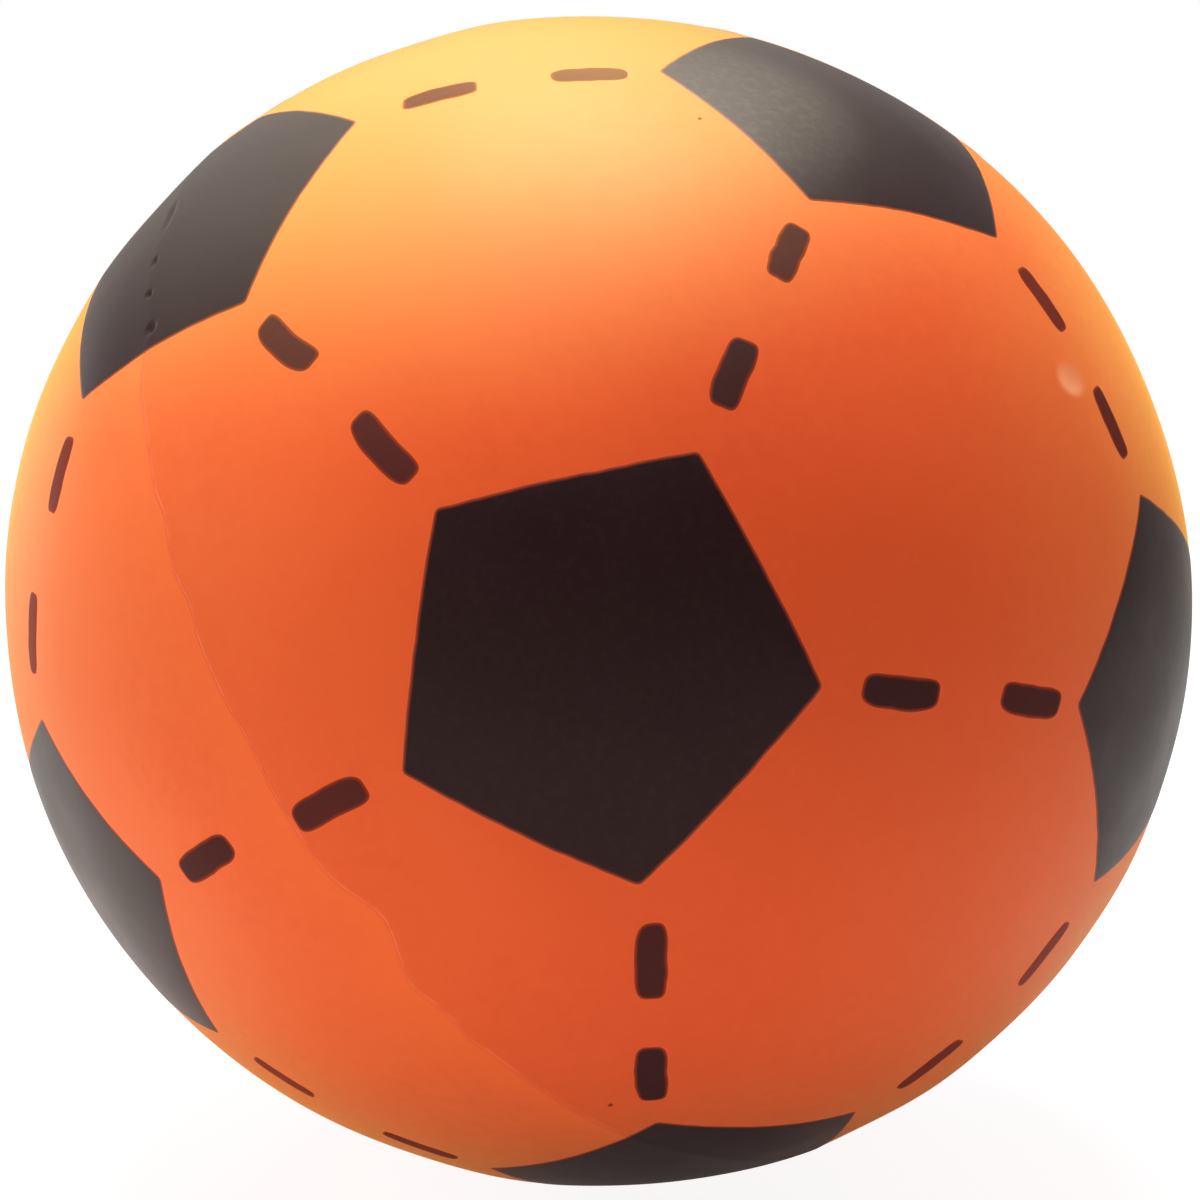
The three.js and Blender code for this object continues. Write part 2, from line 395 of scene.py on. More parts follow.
def foam_finish():
    """Satin foam skin: orange, with painted shade on its lower right side and a soft deeper mottle, painted
    light on the lip left of the seam and painted shade on the lip to its right, a painted amber highlight on
    the crown, a pale scar and an orange-peel bump."""
    material, tree, surface, place = blank_material("foam_skin")
    broad = grain(tree, place, BROAD_GRAIN)
    fine = grain(tree, place, FINE_GRAIN, FINE_DETAIL, GRAIN_ROUGHNESS)
    mottle = ramped(tree, reckoned(tree, "MULTIPLY", broad, fine), *MOTTLE_SPAN, *MOTTLE_DEPTH)
    # Painted shade on the lower right side, plus a deeper random mottle
    mottle_and_shade = reckoned(tree, "ADD", side_share(tree, place, PAINTED_SHADE_SIDE), mottle)
    colour = blended(tree, mottle_and_shade, FOAM_ORANGE, FOAM_MOTTLE_AND_SHADE)
    # Painted light on the left lip of the seam and painted shade on the right lip
    lip = measured(tree, "lip")
    colour = blended(tree, ramped(tree, lip, 0.0, 1.0, 0.0, LEFT_LIP_LIGHT_SHARE), colour, FOAM_LEFT_LIP_PAINTED_LIGHT)
    colour = blended(tree, ramped(tree, lip, -1.0, 0.0, RIGHT_LIP_SHADE_SHARE, 0.0), colour, FOAM_RIGHT_LIP_PAINTED_SHADE)
    # Painted amber highlight on the crown
    colour = blended(tree, side_share(tree, place, PAINTED_HIGHLIGHT_SIDE), colour, FOAM_PAINTED_HIGHLIGHT)
    colour = blended(tree, measured(tree, "scar"), colour, FOAM_PALE)
    tree.links.new(colour, surface.inputs["Base Color"])
    tree.links.new(ramped(tree, fine, *NOISE_SPAN, *FOAM_ROUGHNESS), surface.inputs["Roughness"])
    surface.inputs["Specular IOR Level"].default_value = FOAM_GLOSS
    surface.inputs["Specular Tint"].default_value = FOAM_GLOSS_TINT
    surface.inputs["Sheen Weight"].default_value = FOAM_SHEEN
    surface.inputs["Sheen Roughness"].default_value = FOAM_SHEEN_ROUGHNESS
    surface.inputs["Sheen Tint"].default_value = FOAM_SHEEN_TINT
    peel = {"Strength": PEEL_STRENGTH, "Distance": PEEL_HEIGHT, "Height": grain(tree, place, PEEL_GRAIN)}
    tree.links.new(node(tree, "ShaderNodeBump", peel).outputs["Normal"], surface.inputs["Normal"])
    return material


foam_skin = foam_finish()
moulded_right = half_body("moulded_half_right", 1, foam_skin)
moulded_left = half_body("moulded_half_left", -1, foam_skin)
for half, node_name in ((moulded_right, "foam_half_right"), (moulded_left, "foam_half_left")):
    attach(half, "root")
    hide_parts(node_name)

# Seam glue
# A thin, even film of flexible glue holds the two flat faces together. A fine bead of it was pressed out
# along the parting line, and stands level with the skin or a hair proud of it.

BEAD_PROUD = 0.02 * MM
BEAD_SWING = 0.02 * MM
# Whole waves round the seam, in which the bead's height swings
BEAD_WAVES = (23, 57, 111)
# Across the bead: place as a share of half the gap, then height, as a share of the bead's where it is proud
# of the skin and in millimetres where it is below
BEAD_PROFILE = (
    (-1.0, -0.16), (-0.98, -0.03), (-0.6, 0.5), (0.0, 1.0), (0.6, 0.5), (0.98, -0.03), (1.0, -0.16),
)
GLUE_TONE = (0.93, 0.138, 0.034, 1)
GLUE_DEEP = (0.88, 0.105, 0.022, 1)
GLUE_GRAIN = 300
GLUE_DETAIL = 3
GLUE_TONE_SPAN = (0.4, 0.62)
GLUE_ROUGHNESS = 0.45
GLUE_GLOSS = 0.3


def glue_body(name, material):
    """A disc as thin as the gap, with the wave of the gluing faces: its rim carries a bead, whose height
    swings with the product of two sines and half of a third, and the rings on both faces go in to the
    middle."""
    path = seam_path(SEAM_TURNS)
    slow, quick, quickest = BEAD_WAVES
    swing = np.sin(slow * SEAM_TURNS + 1) * np.sin(quick * SEAM_TURNS)
    swing = swing + 0.5 * np.sin(quickest * SEAM_TURNS + 2)
    bead = BEAD_PROUD + BEAD_SWING * (swing - 0.5)
    on_path = unit(SEAM_LEVEL + (path / BALL_RADIUS)[:, None] * SEAM_POLE)
    ground = BALL_RADIUS + skin_rise(on_path, FOAM_PIT_SPREAD)
    rim = []
    for aside, proud in BEAD_PROFILE:
        height = bead * proud if proud > 0 else proud * MM
        way = at_latitude((path + aside * SEAM_GAP / 2) / BALL_RADIUS)
        rim.append(way * (ground + height)[:, None])
    left_face = gluing_face(rim[0], -SEAM_GAP / 2)
    right_face = gluing_face(rim[-1], SEAM_GAP / 2)
    rings = np.concatenate([left_face, np.stack(rim), right_face[::-1]])
    return ringed_body(name, -SEAM_GAP / 2 * SEAM_POLE, rings, SEAM_GAP / 2 * SEAM_POLE, material)


def glue_finish():
    """Smooth flexible glue, tinted by the foam, in two tones along the bead, with the foam's painted amber
    highlight on the crown.
    """
    material, tree, surface, place = blank_material("seam_glue_film")
    tone = ramped(tree, grain(tree, place, GLUE_GRAIN, GLUE_DETAIL), *GLUE_TONE_SPAN, 0.0, 1.0)
    colour = blended(tree, tone, GLUE_TONE, GLUE_DEEP)
    # The foam's painted amber highlight on the crown
    colour = blended(tree, side_share(tree, place, PAINTED_HIGHLIGHT_SIDE), colour, FOAM_PAINTED_HIGHLIGHT)
    tree.links.new(colour, surface.inputs["Base Color"])
    surface.inputs["Roughness"].default_value = GLUE_ROUGHNESS
    surface.inputs["Specular IOR Level"].default_value = GLUE_GLOSS
    return material


seam_line = glue_body("seam_glue_line", glue_finish())
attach(seam_line, "root")
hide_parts("seam_glue")

# Printed pentagons
# Twelve pentagons of flexible black ink, pressed on with a soft stamp after the halves were glued. The film
# follows the skin, thins out over its last half millimetre, and fills the open pits of the seam.

INK_HEIGHT = 0.08 * MM
INK_DEPTH = 0.05 * MM
INK_TAPER = 0.3 * MM
INK_RIM_SUNK = 0.012 * MM
INK_FEATHER = 0.65 * MM
UNDER_RINGS = np.array([0.25, 0.5, 0.75, 1.0])
PENTAGON_SIDES = 5
PENTAGON_REACH = 30.9 * MM
# How the corners of single pentagons differ, anticlockwise from the first: further out in millimetres, and
# turned in degrees
PENTAGON_CORNERS = {
    "front": ((1.0, 0.5), (-0.3, 0.2), (0.2, 0.9), (0.6, -0.4), (-0.3, 1.4)),
    "front_ring_1": ((0.6, 0), (0.9, 0), (1.0, 1.2), (0.4, 0.1), (0.5, -0.3)),
    "front_ring_2": ((-0.8, 0.3), (0.3, 0), (0.6, 0), (-0.5, 0), (-1.0, -0.2)),
    "front_ring_3": ((-0.6, -2.6), (-0.8, -0.2), (0.9, 2.9), (-0.3, 0), (-0.3, 0)),
    "front_ring_4": ((2.0, 0), (1.7, 0.3), (0.8, 0), (1.0, -0.4), (1.8, 0)),
    "front_ring_5": ((1.8, 0), (-0.7, 1.8), (0.2, 1.3), (0.3, -0.9), (1.4, 0)),
}
TRUE_CORNERS = ((0, 0),) * PENTAGON_SIDES
# The first corner lies furthest this way, and corners reach at least this share of the longest reach
FIRST_CORNER_WAY = np.array([0.31, 0.22, 0.92])
CORNER_SHARE = 0.985
CORNER_SHARPNESS = 90
PENTAGON_COLUMNS = 400
PENTAGON_WOBBLE = 0.035 * MM
PENTAGON_WAVES = (6, 60)
PENTAGON_SEED = 100
OUTLINE_SAMPLES = 6001
# Power with which the waves of an uneven rim get weaker as they get shorter
WOBBLE_FALL = 0.7

INK_BLACK = (0.0185, 0.0048, 0.0062, 1)
INK_BROWN = (0.023, 0.0080, 0.0090, 1)
INK_THIN = (0.36, 0.042, 0.014, 1)
# Thin ink under the crown's painted amber highlight
INK_THIN_PAINTED_HIGHLIGHT = (0.58, 0.170, 0.040, 1)
# Pale brown of a painted highlight on the dashes at the top of the ball
DASH_INK_PAINTED_HIGHLIGHT = (0.36, 0.168, 0.06, 1)
# Pale film of dust, also used for painted highlight and painted reflection on the ink
INK_DUST_AND_PAINTED_LIGHT = (0.18, 0.150, 0.112, 1)
# Top of the ball, where the dashes carry the painted highlight
DASH_HIGHLIGHT_TOP = (unit(np.array([0.05, -0.36, 0.93])), math.radians(22), math.radians(6))
# Where dust and a painted highlight lie on the ink, and how much of it they hide where the noise is low and
# where it is high
DUST_AND_HIGHLIGHT_WAY = unit(np.array([-0.16, -0.50, 0.85]))
DUST_AND_HIGHLIGHT_FULL = math.radians(8)
DUST_AND_HIGHLIGHT_FILM = (0.28, 0.34)
# Painted reflection: a pale film on the ink at the lower left, where the rim catches light
LOW_PAINTED_REFLECTION = (unit(np.array([-0.88, -0.30, -0.37])), math.radians(36), math.radians(8))
LOW_REFLECTION_FILM = (0.20, 0.26)
# Dust specks on one pentagon, with a painted highlight in them
SPECKS_AND_HIGHLIGHT = (unit(np.array([0.16, -0.56, 0.81])), math.radians(17), math.radians(4))
DUST_SPECKS_SPAN = (0.40, 0.75)
SPECKS_AND_HIGHLIGHT_FILM = (0.42, 0.66)
DUST_SPECKS_GRAIN = 700
SPECKLE_GRAIN = 900
PATCH_GRAIN = 60
INK_DETAIL = 3
BROWN_SPAN = (0.45, 0.7)
BROWN_SHARE = 0.8
# Power of the ink's cover, where the speckle is low and where it is high
COVER_POWER = (1.2, 0.9)
INK_ROUGHNESS = (0.42, 0.50)
INK_GLOSS_TINT = (1.0, 0.81, 0.70, 1)
INK_SHEEN_ROUGHNESS = 0.3
INK_SHEEN_TINT = (1.0, 0.86, 0.68, 1)
INK_BUMP_STRENGTH = 0.25
INK_BUMP_HEIGHT = 0.03 * MM
# Angle at which the film of dust and painted highlight begins on the pentagons
PENTAGON_DUST_AND_HIGHLIGHT_EDGE = math.radians(42)
PENTAGON_GLOSS = 0.18
PENTAGON_SHEEN = 0.13


def node_points(node_name):
    """Vertices of a CAD node."""
    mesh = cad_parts[node_name].data
    points = np.empty(3 * len(mesh.vertices))
    mesh.vertices.foreach_get("co", points)
    return points.reshape(-1, 3)


def node_centre(node_name):
    """Unit direction of the middle of a CAD node, from the mean of its vertices."""
    return unit(node_points(node_name).mean(axis=0))


def node_corner(node_name):
    """Way along the surface from a CAD pentagon's middle to its first corner."""
    points = node_points(node_name)
    middle = node_centre(node_name)
    away = points - (points @ middle)[:, None] * middle
    far = np.linalg.norm(away, axis=-1)
    corners = away[far > CORNER_SHARE * far.max()]
    return unit(corners[np.argmax(corners @ FIRST_CORNER_WAY)])


def even_outline(outline, columns):
    """Rim points at even steps along an outline that is given as a radius for each angle."""
    angle = np.linspace(0, 2 * math.pi, OUTLINE_SAMPLES)
    points = outline(angle)[:, None] * np.stack([np.cos(angle), np.sin(angle)], axis=-1)
    run = np.concatenate([[0], np.cumsum(np.linalg.norm(np.diff(points, axis=0), axis=-1))])
    even = np.linspace(0, run[-1], columns + 1)[:-1]
    return np.stack([np.interp(even, run, points[:, 0]), np.interp(even, run, points[:, 1])], axis=-1)


def wobble(columns, size, slowest, fastest, draw):
    """Unevenness round a rim: a sum of whole waves, weaker as they get shorter."""
    turn = np.linspace(0, 2 * math.pi, columns + 1)[:-1]
    uneven = np.zeros(columns)
    for waves in range(slowest, fastest + 1):
        wave = np.cos(waves * turn + draw.uniform(0, 2 * math.pi)) * draw.normal()
        uneven += wave * (slowest / waves) ** WOBBLE_FALL
    return size * uneven / uneven.std()


def ring_step(at_rim, growth, widest):
    """Spacing of a film's rings: close together at the rim, and growing with the way in up to the widest."""
    return lambda way_in: np.minimum(at_rim + growth * way_in, widest)


def ink_film(name, centre, along, rim, step, material, cover=1.0, bow=0.0, fills_pits=False):
    """A closed film on the skin. Its rings are the rim drawn in towards the middle, laid on the ball by their
    directions from its centre. The top rises from the skin as one less an exponential of the way in from the
    rim, and the cover of ink grows with it. The underside lies just below the skin."""
    left = np.cross(centre, along)
    forward = unit(np.roll(rim, -1, axis=0) - np.roll(rim, 1, axis=0))
    support = rim[:, 0] * forward[:, 1] - rim[:, 1] * forward[:, 0]
    half_length = np.abs(rim[:, 0]).max()

    def laid(shares):
        spots = shares[:, None, None] * rim
        bowed = spots[..., 1] + bow * (1 - (spots[..., 0] / half_length) ** 2)
        ways = BALL_RADIUS * centre + spots[..., :1] * along + bowed[..., None] * left
        return unit(ways)

    inward = stations(1.0, lambda share: step(share * support.mean()) / support.mean())
    top_shares = 1 - inward[:-1]
    under_shares = top_shares[::-1] if fills_pits else UNDER_RINGS
    top_ways = laid(top_shares)
    way_in = (1 - top_shares)[:, None] * support
    rise = INK_HEIGHT * (1 - np.exp(-way_in / INK_TAPER)) - INK_RIM_SUNK
    top = top_ways * (BALL_RADIUS + skin_rise(top_ways) + rise)[..., None]
    under_ways = laid(under_shares)
    under = under_ways * (BALL_RADIUS + skin_rise(under_ways) - INK_DEPTH)[..., None]
    middle = laid(np.zeros(1))[0, 0]
    ground = BALL_RADIUS + skin_rise(middle[None])[0]
    inked = np.clip(way_in / INK_FEATHER, 0, 1)
    inked = cover * inked * inked * (3 - 2 * inked)
    covers = np.concatenate([np.zeros(under.shape[:2]), inked])
    rings = np.concatenate([under, top])
    return ringed_body(
        name, middle * (ground - INK_DEPTH), rings, middle * (ground + INK_HEIGHT), material,
        ink_cover=(0, covers, cover),
    )


def ink_finish(name, dark, brown, dust_and_highlight_edge, gloss, sheen, paints_top_highlight):
    """Satin ink, brown-black with a fine speckle. A pale film of dust and painted highlight lies on the upper
    front, a pale painted reflection on the lower left, and dust specks with a painted highlight on one
    pentagon. The ink is reddish where it thins out over the foam, amber under the crown's painted highlight,
    and it may carry a painted highlight at the top."""
    material, tree, surface, place = blank_material(name)
    speckle = grain(tree, place, SPECKLE_GRAIN, INK_DETAIL, GRAIN_ROUGHNESS)
    patch = grain(tree, place, PATCH_GRAIN, INK_DETAIL, GRAIN_ROUGHNESS)
    specks = grain(tree, place, DUST_SPECKS_GRAIN, INK_DETAIL, GRAIN_ROUGHNESS)
    # Pale films: dust with a painted highlight on the upper front, a painted reflection on the lower left,
    # and dust specks with a painted highlight
    films = (
        ((DUST_AND_HIGHLIGHT_WAY, dust_and_highlight_edge, DUST_AND_HIGHLIGHT_FULL), ramped(tree, patch, *NOISE_SPAN, *DUST_AND_HIGHLIGHT_FILM)),
        (LOW_PAINTED_REFLECTION, ramped(tree, patch, *NOISE_SPAN, *LOW_REFLECTION_FILM)),
        (SPECKS_AND_HIGHLIGHT, ramped(tree, specks, *DUST_SPECKS_SPAN, *SPECKS_AND_HIGHLIGHT_FILM)),
    )
    body = blended(tree, ramped(tree, speckle, *BROWN_SPAN, 0.0, BROWN_SHARE), dark, brown)
    for side, film in films:
        body = blended(tree, reckoned(tree, "MULTIPLY", side_share(tree, place, side), film), body, INK_DUST_AND_PAINTED_LIGHT)
    # Thin ink is amber under the crown's painted highlight
    thin = blended(tree, side_share(tree, place, PAINTED_HIGHLIGHT_SIDE), INK_THIN, INK_THIN_PAINTED_HIGHLIGHT)
    power = ramped(tree, speckle, *NOISE_SPAN, *COVER_POWER)
    colour = blended(tree, reckoned(tree, "POWER", measured(tree, "ink_cover"), power), thin, body)
    # Painted highlight on the dashes at the top
    if paints_top_highlight:
        colour = blended(tree, side_share(tree, place, DASH_HIGHLIGHT_TOP), colour, DASH_INK_PAINTED_HIGHLIGHT)
    tree.links.new(colour, surface.inputs["Base Color"])
    tree.links.new(ramped(tree, patch, *NOISE_SPAN, *INK_ROUGHNESS), surface.inputs["Roughness"])
    surface.inputs["Specular IOR Level"].default_value = gloss
    surface.inputs["Specular Tint"].default_value = INK_GLOSS_TINT
    surface.inputs["Sheen Weight"].default_value = sheen
    surface.inputs["Sheen Roughness"].default_value = INK_SHEEN_ROUGHNESS
    surface.inputs["Sheen Tint"].default_value = INK_SHEEN_TINT
    bump = {"Strength": INK_BUMP_STRENGTH, "Distance": INK_BUMP_HEIGHT, "Height": speckle}
    tree.links.new(node(tree, "ShaderNodeBump", bump).outputs["Normal"], surface.inputs["Normal"])
    return material


def pentagon_outline(corners):
    """Five straight sides between the corners, with small round corners: at each angle, a high power mean of
    how near the sides lie. A reach along the ball is laid flat as the radius times the tangent of its
    angle."""
    outward, turned = np.array(corners).T
    spread = BALL_RADIUS * np.tan((PENTAGON_REACH + outward * MM) / BALL_RADIUS)
    bearing = np.arange(PENTAGON_SIDES) * 2 * math.pi / PENTAGON_SIDES + np.radians(turned)
    corner = spread[:, None] * np.stack([np.cos(bearing), np.sin(bearing)], axis=-1)
    side = unit(np.roll(corner, -1, axis=0) - corner)
    normal = np.stack([side[:, 1], -side[:, 0]], axis=-1)
    distance = (corner * normal).sum(axis=-1)

    def radius(angle):
        facing = np.stack([np.cos(angle), np.sin(angle)], axis=-1) @ normal.T
        nearness = np.maximum(facing, 0) / distance
        return (nearness ** CORNER_SHARPNESS).sum(axis=-1) ** (-1 / CORNER_SHARPNESS)

    return radius


# The pentagons that the seam crosses have closer rings, to follow its pits
SEAM_PENTAGON_STEP = ring_step(0.06 * MM, 0.12, 0.3 * MM)
PLAIN_PENTAGON_STEP = ring_step(0.06 * MM, 0.12, 1.0 * MM)

pentagon_ink = ink_finish(
    "pentagon_ink", INK_BLACK, INK_BROWN, PENTAGON_DUST_AND_HIGHLIGHT_EDGE, PENTAGON_GLOSS, PENTAGON_SHEEN, paints_top_highlight=False
)
pentagon_names = ["front"]
pentagon_names += [f"front_ring_{place}" for place in range(1, PENTAGON_SIDES + 1)]
pentagon_names += [f"back_ring_{place}" for place in range(1, PENTAGON_SIDES + 1)]
pentagon_names += ["back"]
pentagon_centres = {}
for count, pentagon_name in enumerate(pentagon_names):
    node_name = f"pentagon_{pentagon_name}"
    centre = node_centre(node_name)
    pentagon_centres[pentagon_name] = centre
    corners = PENTAGON_CORNERS.get(pentagon_name, TRUE_CORNERS)
    rim = even_outline(pentagon_outline(corners), PENTAGON_COLUMNS)
    draw = np.random.default_rng(PENTAGON_SEED + count)
    rim = rim + unit(rim) * wobble(PENTAGON_COLUMNS, PENTAGON_WOBBLE, *PENTAGON_WAVES, draw)[:, None]
    on_seam = abs(centre @ SEAM_POLE) * BALL_RADIUS < PENTAGON_REACH
    printed = ink_film(
        f"printed_pentagon_{pentagon_name}", centre, node_corner(node_name), rim,
        SEAM_PENTAGON_STEP if on_seam else PLAIN_PENTAGON_STEP, pentagon_ink, fills_pits=on_seam,
    )
    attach(printed, "root")
    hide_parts(node_name)

# Printed dashes
# Sixty short dashes of the same ink mark the lines between the pentagons, two on each line. The stamp's edges
# are worn, so they differ a little in length, bend and place.

DASH_LENGTH = 12 * MM
DASH_SQUARENESS = 4.0
DASH_COLUMNS = 64
DASH_WOBBLE = 0.06 * MM
DASH_WAVES = (2, 9)
DASH_SEED = 300
DASH_STEP = ring_step(0.05 * MM, 0.15, 0.3 * MM)
CAD_PENTAGON_REACH = 30.5 * MM
CORNER_GAP_SHARE = 0.27
NEIGHBOUR_ANGLE = 1.1 * math.atan(2)
# How single dashes differ: slip along and across in millimetres, turn in degrees, length, width and bow in
# millimetres, and how well the ink covers
DASH_SLIPS = {
    "front_to_front_ring_1": (-0.9, -0.2, -1, 12.5, 4.6, 0.5, 0.82),
    "front_to_front_ring_2": (-0.7, 0.5, 2, 13.0, 4.8, -0.3, 0.82),
    "front_to_front_ring_3": (0.8, 0.6, -8, 13.3, 4.7, -0.2, 0.89),
    "front_to_front_ring_4": (-0.1, 0.3, -2, 12.6, 4.9, -0.3, 0.95),
    "front_to_front_ring_5": (1.3, 0.1, 2, 11.0, 4.8, 0.2, 0.94),
    "front_ring_1_to_front": (0.0, 0.3, 6, 12.5, 4.6, -0.8, 0.82),
    "front_ring_1_to_front_ring_2": (-0.3, 1.3, -1, 12.0, 4.3, 0, 0.50),
    "front_ring_1_to_front_ring_5": (1.7, -0.6, -1, 11.7, 4.7, 0.2, 0.72),
    "front_ring_2_to_front": (-0.8, -0.5, 7, 13.5, 4.9, 0, 0.88),
    "front_ring_2_to_front_ring_1": (-0.5, 2.1, -2, 12.8, 4.2, 0.1, 0.38),
    "front_ring_2_to_front_ring_3": (-0.6, 0.4, 0, 11.2, 4.0, 0, 0.38),
    "front_ring_3_to_front": (0, 2.1, -5, 13.3, 4.9, 0.2, 0.95),
    "front_ring_3_to_front_ring_2": (0, 2.0, 0, 12.4, 4.7, 0, 0.50),
    "front_ring_3_to_front_ring_4": (-0.5, -1.5, 0, 12.6, 4.7, 0.2, 0.56),
    "front_ring_4_to_front": (-0.7, 0.1, -6, 12.5, 4.8, 0.3, 0.88),
    "front_ring_4_to_front_ring_3": (0.8, 1.5, 0, 12.4, 4.1, -0.3, 0.44),
    "front_ring_4_to_front_ring_5": (1.7, 1.9, 1, 11.7, 4.3, 0.3, 0.70),
    "front_ring_5_to_front": (-0.7, 0, 0, 11.0, 4.6, -0.1, 0.84),
    "front_ring_5_to_front_ring_1": (-1.8, 1.4, -1, 11.5, 4.4, 0, 0.88),
    "front_ring_5_to_front_ring_4": (-0.3, -1.7, 0, 11.6, 4.2, -0.1, 0.62),
}
PLAIN_DASH = (0, 0, 0, 12.2, 4.7, 0, 0.88)
DASH_BLACK = (0.035, 0.0160, 0.0170, 1)
DASH_BROWN = (0.041, 0.0195, 0.0200, 1)
# Angle at which the film of dust and painted highlight begins on the dashes
DASH_DUST_AND_HIGHLIGHT_EDGE = math.radians(48)
DASH_GLOSS = 0.02
DASH_SHEEN = 0.0


def dash_outline(length, width):
    """A rectangle with well rounded corners: the power sum of the shares along and across is one."""
    def radius(angle):
        along = np.abs(np.cos(angle)) / (length / 2)
        across = np.abs(np.sin(angle)) / (width / 2)
        return (along ** DASH_SQUARENESS + across ** DASH_SQUARENESS) ** (-1 / DASH_SQUARENESS)
    return radius


dash_ink = ink_finish(
    "dash_ink", DASH_BLACK, DASH_BROWN, DASH_DUST_AND_HIGHLIGHT_EDGE, DASH_GLOSS, DASH_SHEEN, paints_top_highlight=True
)
dash_lines = [
    (start, end)
    for start in pentagon_names
    for end in pentagon_names
    if start != end and pentagon_centres[start] @ pentagon_centres[end] > math.cos(NEIGHBOUR_ANGLE)
]
for count, (start, end) in enumerate(dash_lines):
    line_name = f"{start}_to_{end}"
    from_centre, to_centre = pentagon_centres[start], pentagon_centres[end]
    slip, aside, turn, length, width, bow, cover = DASH_SLIPS.get(line_name, PLAIN_DASH)
    line_length = math.acos(from_centre @ to_centre) * BALL_RADIUS
    bare = line_length - 2 * (CAD_PENTAGON_REACH + DASH_LENGTH)
    reach = (CAD_PENTAGON_REACH + CORNER_GAP_SHARE * bare + DASH_LENGTH / 2 + slip * MM) / BALL_RADIUS
    line_way = unit(to_centre - (to_centre @ from_centre) * from_centre)
    centre = math.cos(reach) * from_centre + math.sin(reach) * line_way
    along = math.cos(reach) * line_way - math.sin(reach) * from_centre
    left = np.cross(centre, along)
    centre = unit(centre + left * aside * MM / BALL_RADIUS)
    along = math.cos(math.radians(turn)) * along + math.sin(math.radians(turn)) * left
    along = unit(along - (along @ centre) * centre)
    rim = even_outline(dash_outline(length * MM, width * MM), DASH_COLUMNS)
    draw = np.random.default_rng(DASH_SEED + count)
    rim = rim + unit(rim) * wobble(DASH_COLUMNS, DASH_WOBBLE, *DASH_WAVES, draw)[:, None]
    printed = ink_film(
        f"printed_dash_{line_name}", centre, along, rim, DASH_STEP, dash_ink, cover=cover, bow=bow * MM
    )
    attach(printed, "root")
    if f"dash_{line_name}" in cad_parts:
        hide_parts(f"dash_{line_name}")

# Spattered ink
# Two specks of the dashes' ink, which fell on the skin beside the print when the stamp came away. Each is a
# film of its own, nearly round.

# Bearing from the front and elevation in degrees, width in millimetres, and how well the ink covers
INK_SPECKS = ((13.9, 50.0, 0.75, 0.85), (1.9, -42.3, 0.9, 0.45))
SPECK_COLUMNS = 24
SPECK_OVAL = 0.12
SPECK_STEP = ring_step(0.04 * MM, 0, 0.04 * MM)

for count, (bearing, elevation, width, cover) in enumerate(INK_SPECKS, start=1):
    centre = heading(math.radians(bearing), math.radians(elevation))
    along = unit(np.cross(centre, SEAM_POLE))
    turn = np.linspace(0, 2 * math.pi, SPECK_COLUMNS + 1)[:-1]
    radius = 0.5 * width * MM * (1 + SPECK_OVAL * np.cos(2 * turn + count))
    rim = radius[:, None] * np.stack([np.cos(turn), np.sin(turn)], axis=-1)
    printed = ink_film(f"printed_speck_{count}", centre, along, rim, SPECK_STEP, dash_ink, cover=cover)
    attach(printed, "root")

# Floor
# A plain white sweep for the ball to lie on. It glows a little towards the camera, so it stays white, and it
# keeps a faint shadow.

FLOOR_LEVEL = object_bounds()[0][2]
FLOOR_RINGS = (4.0, 1.0, 0.3)
FLOOR_COLUMNS = 64
FLOOR_THICKNESS = 0.01
FLOOR_WHITE = (0.81, 0.81, 0.81, 1)
# Share of the glow for the rays that see the floor, and for those that light the ball
FLOOR_GLOW_SHARE = 0.8
FLOOR_LIGHT_SHARE = 0.12
# Strength of the glow near the ball and far from it, and the distances between which it grows
FLOOR_GLOW = (1.14, 1.25)
FLOOR_GLOW_REACH = (0.10, 0.60)


def floor_body(name, material):
    """A flat disc: rings of one radius each, closed on a point at the middle."""
    turn = np.linspace(0, 2 * math.pi, FLOOR_COLUMNS + 1)[:-1]
    ring = np.stack([np.cos(turn), np.sin(turn), np.zeros_like(turn)], axis=-1)
    middle = np.array([0, 0, FLOOR_LEVEL])
    down = np.array([0, 0, FLOOR_THICKNESS])
    top = np.array(FLOOR_RINGS)[:, None, None] * ring + middle
    return ringed_body(name, middle - down, np.concatenate([top[:1] - down, top]), middle, material)


def seen_share(tree, by_camera, by_gloss, by_others):
    """One share for rays from the camera and through glass, another for rays from gloss, and a third for the
    rays that light the ball, which is the least that any ray has."""
    rays = node(tree, "ShaderNodeLightPath").outputs
    direct = reckoned(tree, "MAXIMUM", rays["Is Camera Ray"], rays["Is Transmission Ray"])
    seen = reckoned(tree, "MULTIPLY", direct, by_camera)
    glossy = reckoned(tree, "MULTIPLY", rays["Is Glossy Ray"], by_gloss)
    return reckoned(tree, "MAXIMUM", reckoned(tree, "MAXIMUM", seen, glossy), by_others)


def floor_finish():
    """Matt white paper, with a part of a white glow for the rays that see it."""
    material = bpy.data.materials.new("white_sweep")
    material.use_nodes = True
    tree = material.node_tree
    tree.nodes.remove(tree.nodes["Principled BSDF"])
    paper = node(tree, "ShaderNodeBsdfDiffuse", {"Color": FLOOR_WHITE}).outputs[0]
    place = node(tree, "ShaderNodeTexCoord").outputs["Object"]
    distance = node(tree, "ShaderNodeVectorMath", {0: place}, operation="LENGTH").outputs["Value"]
    strength = ramped(tree, distance, *FLOOR_GLOW_REACH, *FLOOR_GLOW)
    glow = node(tree, "ShaderNodeEmission", {"Strength": strength}).outputs[0]
    share = seen_share(tree, FLOOR_GLOW_SHARE, FLOOR_LIGHT_SHARE, FLOOR_LIGHT_SHARE)
    mixed = node(tree, "ShaderNodeMixShader", {0: share, 1: paper, 2: glow}).outputs[0]
    tree.links.new(mixed, tree.nodes["Material Output"].inputs["Surface"])
    return material


